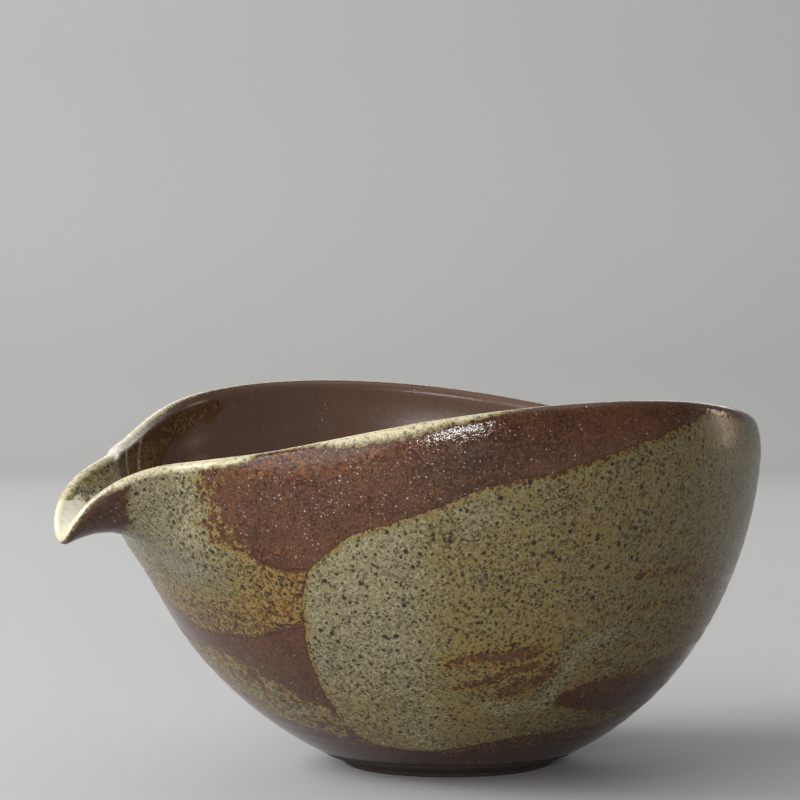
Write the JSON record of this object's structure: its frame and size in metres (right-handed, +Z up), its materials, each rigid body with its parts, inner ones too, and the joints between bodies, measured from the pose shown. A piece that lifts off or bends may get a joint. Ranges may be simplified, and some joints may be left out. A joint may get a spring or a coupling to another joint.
{
  "type": "tea bowl with pouring lip",
  "caption": "Deep round stoneware tea bowl with a pulled pouring lip, a waved rim, a low turned foot ring and poured glaze coats, for cooling and pouring tea.",
  "frame": {"origin": "middle of the bounding box in plan, on the plane that the foot ring stands on", "axes": "+Z up, the pouring lip points along -X, Y across the bowl"},
  "size_m": [0.1434, 0.1256, 0.073],
  "materials": {
    "iron_brown_stoneware": "satin iron-brown slip glaze",
    "bare_stoneware": "bare fired stoneware",
    "ash_glaze": "speckled olive ash glaze, glossy"
  },
  "bodies": {
    "root": {"bowl_body": "iron_brown_stoneware", "pouring_lip": "iron_brown_stoneware", "foot_ring": "bare_stoneware", "ash_glaze_back": "ash_glaze", "ash_glaze_lip_side": "ash_glaze", "ash_glaze_low": "ash_glaze", "ash_glaze_inside_lip": "ash_glaze"}
  },
  "joints": []
}
